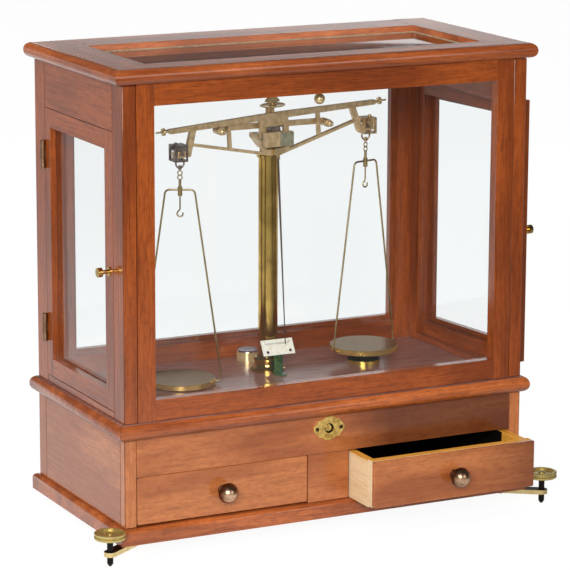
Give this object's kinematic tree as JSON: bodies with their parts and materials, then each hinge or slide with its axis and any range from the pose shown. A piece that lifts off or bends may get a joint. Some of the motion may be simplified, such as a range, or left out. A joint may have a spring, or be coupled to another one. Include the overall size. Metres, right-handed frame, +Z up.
{
  "type": "analytical beam balance",
  "caption": "Equal-arm knife-edge balance on a turned brass column, in a glazed mahogany case with lifting front, hinged side doors and drawers in the base.",
  "frame": {"origin": "on the table under the middle of the whole outline at rest, the open drawer included; the case itself stands 32.25 mm behind it", "axes": "+X to the right of someone facing the lifting front, +Y to the back, +Z up"},
  "size_m": [0.5124, 0.2944, 0.4747],
  "materials": {
    "mahogany_base": "polished",
    "mahogany_case": "polished",
    "maple": "planed",
    "turned_knob": "polished",
    "glass_pane": "clear",
    "lacquered_brass": "lacquered",
    "beam_brass": "satin",
    "old_brass": "aged",
    "pan_brass": "polished",
    "steel": "satin",
    "agate": "polished stone",
    "ivory": "smooth"
  },
  "bodies": {
    "case": {"base_board": "mahogany_base", "base_posts": "mahogany_base", "base_sides": "mahogany_base", "base_back": "mahogany_base", "base_front_rail": "mahogany_base", "drawer_divider": "mahogany_base", "case_floor": "mahogany_case", "front_posts": "mahogany_case", "rear_posts": "mahogany_case", "side_sills": "mahogany_case", "side_friezes": "mahogany_case", "back_frame": "mahogany_case", "back_glass": "glass_pane", "cornice": "mahogany_case", "top_glass": "glass_pane", "catch_ball": "old_brass", "door_hinges": "old_brass", "levelling_arms": "old_brass", "rear_foot": "old_brass", "escutcheon": "old_brass", "column": "lacquered_brass", "bearing_block": "beam_brass", "agate_plane": "agate", "pan_stops": "lacquered_brass", "scale_plate": "ivory", "scale_bracket": "old_brass", "spirit_level": "lacquered_brass", "level_vial": "glass_pane", "screws": "steel"},
    "left_drawer": {"left_drawer_face": "mahogany_base", "left_drawer_box": "maple", "left_drawer_knob": "turned_knob"},
    "right_drawer": {"right_drawer_face": "mahogany_base", "right_drawer_box": "maple", "right_drawer_knob": "turned_knob"},
    "sash": {"sash_frame": "mahogany_case", "sash_glass": "glass_pane", "sash_cornice": "mahogany_case"},
    "left_door": {"left_door_frame": "mahogany_case", "left_door_glass": "glass_pane", "left_door_brass": "old_brass"},
    "right_door": {"right_door_frame": "mahogany_case", "right_door_glass": "glass_pane", "right_door_brass": "old_brass"},
    "left_foot_screw": {"left_levelling_screw": "old_brass"},
    "right_foot_screw": {"right_levelling_screw": "old_brass"},
    "arbor": {"arrest_arbor": "old_brass"},
    "lifter": {"arrest_bar": "beam_brass"},
    "balance_beam": {"beam": "beam_brass", "knife_edges": "steel", "pointer": "steel"},
    "gravity_weight": {"gravity_nut": "beam_brass"},
    "left_adjuster": {"left_end_nut": "beam_brass"},
    "right_adjuster": {"right_end_nut": "beam_brass"},
    "left_hanger": {"left_stirrup": "steel"},
    "right_hanger": {"right_stirrup": "steel"},
    "left_pan_set": {"left_bow": "lacquered_brass", "left_pan": "pan_brass"},
    "right_pan_set": {"right_bow": "lacquered_brass", "right_pan": "pan_brass"}
  },
  "joints": [
    {"name": "beam_tilt", "type": "hinge", "parent": "case", "child": "balance_beam", "pos_m": [0, 0.04675, 0.3785], "axis": [0, 1, 0], "range_deg": [0, 7.2]},
    {"name": "left_stirrup_swing", "type": "hinge", "parent": "balance_beam", "child": "left_hanger", "pos_m": [-0.10429, 0.04675, 0.37194], "axis": [0, 1, 0], "range_deg": [-7.3, 0.1]},
    {"name": "right_stirrup_swing", "type": "hinge", "parent": "balance_beam", "child": "right_hanger", "pos_m": [0.10429, 0.04675, 0.38506], "axis": [0, 1, 0], "range_deg": [-7.3, 0.1]},
    {"name": "left_pan_turn", "type": "hinge", "parent": "left_hanger", "child": "left_pan_set", "pos_m": [-0.10429, 0.04675, 0.34194], "axis": [0, 0, 1], "continuous": true},
    {"name": "right_pan_turn", "type": "hinge", "parent": "right_hanger", "child": "right_pan_set", "pos_m": [0.10429, 0.04675, 0.35506], "axis": [0, 0, 1], "continuous": true},
    {"name": "gravity_nut_turn", "type": "hinge", "parent": "balance_beam", "child": "gravity_weight", "pos_m": [-0.00214, 0.04675, 0.41243], "axis": [-0.0628, 0, 0.998], "continuous": true},
    {"name": "left_nut_turn", "type": "hinge", "parent": "balance_beam", "child": "left_adjuster", "pos_m": [-0.12203, 0.04675, 0.39106], "axis": [0.998, 0, 0.0628], "continuous": true},
    {"name": "right_nut_turn", "type": "hinge", "parent": "balance_beam", "child": "right_adjuster", "pos_m": [0.11949, 0.04675, 0.40626], "axis": [0.998, 0, 0.0628], "continuous": true},
    {"name": "arrest_lower", "type": "slide", "parent": "case", "child": "lifter", "axis": [0, 0, 1], "range_m": [-0.003, 0]},
    {"name": "arrest_arbor_turn", "type": "hinge", "parent": "case", "child": "arbor", "pos_m": [0, 0.03225, 0.1051], "axis": [0, 1, 0], "range_deg": [-1, 92]},
    {"name": "sash_lift", "type": "slide", "parent": "case", "child": "sash", "axis": [0, 0, 1], "range_m": [0, 0.25]},
    {"name": "left_door_swing", "type": "hinge", "parent": "case", "child": "left_door", "pos_m": [-0.2227, 0.1143, 0.27725], "axis": [0, 0, -1], "range_deg": [0, 105]},
    {"name": "right_door_swing", "type": "hinge", "parent": "case", "child": "right_door", "pos_m": [0.2227, 0.1143, 0.27725], "axis": [0, 0, 1], "range_deg": [-6.5, 98.5]},
    {"name": "left_drawer_slide", "type": "slide", "parent": "case", "child": "left_drawer", "axis": [0, -1, 0], "range_m": [0, 0.115]},
    {"name": "right_drawer_slide", "type": "slide", "parent": "case", "child": "right_drawer", "axis": [0, -1, 0], "range_m": [-0.0515, 0.0635]},
    {"name": "left_levelling", "type": "hinge", "parent": "case", "child": "left_foot_screw", "pos_m": [-0.241, -0.08725, 0.02], "axis": [0, 0, 1], "continuous": true},
    {"name": "right_levelling", "type": "hinge", "parent": "case", "child": "right_foot_screw", "pos_m": [0.241, -0.08725, 0.02], "axis": [0, 0, 1], "continuous": true}
  ],
  "couplings": [
    {"joint": "left_stirrup_swing", "follows": "beam_tilt", "ratio": -1},
    {"joint": "right_stirrup_swing", "follows": "beam_tilt", "ratio": -1},
    {"joint": "arrest_arbor_turn", "follows": "arrest_lower", "rad_per_m": -523.6}
  ]
}
